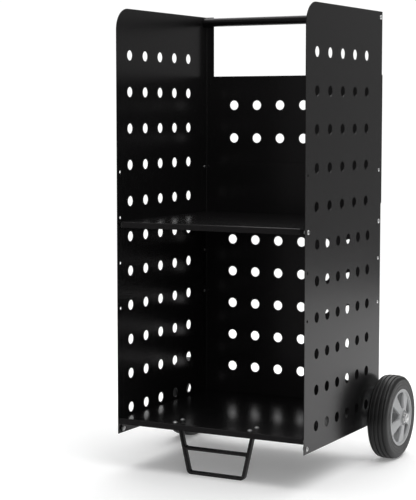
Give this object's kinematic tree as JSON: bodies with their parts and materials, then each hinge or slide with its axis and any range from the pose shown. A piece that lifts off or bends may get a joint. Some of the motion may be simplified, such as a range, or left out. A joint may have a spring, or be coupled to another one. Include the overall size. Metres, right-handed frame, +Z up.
{
  "type": "fireside log cart",
  "caption": "Open-fronted sheet-steel log rack on two rubber-tyred wheels and a bent front stand, with a mid shelf, perforated sides and back, and a tube handle.",
  "frame": {"origin": "on the floor under the middle of the overall width and depth", "axes": "+Z up, the open front towards -Y, +X to the right-hand side panel as seen from the front"},
  "size_m": [0.6406, 0.513, 1.063],
  "materials": {
    "black_steel": "satin black powder coat on sheet steel, bar and tube",
    "zinc": "bright zinc plate",
    "bright_steel": "bright drawn steel rod",
    "tyre": "solid rubber, matt, fine grained",
    "rim": "silver-grey moulded plastic",
    "bush": "natural nylon"
  },
  "bodies": {
    "cabinet": {"side_panel_left": "black_steel", "side_panel_right": "black_steel", "upper_back_panel": "black_steel", "lower_back_panel": "black_steel", "mid_shelf": "black_steel", "bottom_shelf": "black_steel", "mid_shelf_bolts": "zinc", "mid_shelf_nuts": "zinc", "bottom_shelf_bolts": "zinc", "bottom_shelf_nuts": "zinc", "upper_back_rivets": "black_steel", "lower_back_rivets": "zinc", "handle_tube": "black_steel", "handle_end_plugs": "zinc", "handle_screws": "zinc", "stand_bow": "black_steel", "stand_crossbar": "black_steel", "stand_plates": "black_steel", "stand_bolts": "zinc", "stand_nuts": "zinc", "axle_rod": "bright_steel", "axle_inner_nuts": "zinc", "axle_lock_nuts": "zinc", "axle_washers": "zinc", "axle_cap_nuts": "zinc"},
    "wheel_left": {"rim_left": "rim", "tyre_left": "tyre", "hub_bush_left": "bush"},
    "wheel_right": {"rim_right": "rim", "tyre_right": "tyre", "hub_bush_right": "bush"}
  },
  "joints": [
    {"name": "wheel_left_spin", "type": "hinge", "parent": "cabinet", "child": "wheel_left", "pos_m": [-0.2765, 0.1565, 0.1], "axis": [1, 0, 0], "continuous": true},
    {"name": "wheel_right_spin", "type": "hinge", "parent": "cabinet", "child": "wheel_right", "pos_m": [0.2765, 0.1565, 0.1], "axis": [1, 0, 0], "continuous": true}
  ]
}
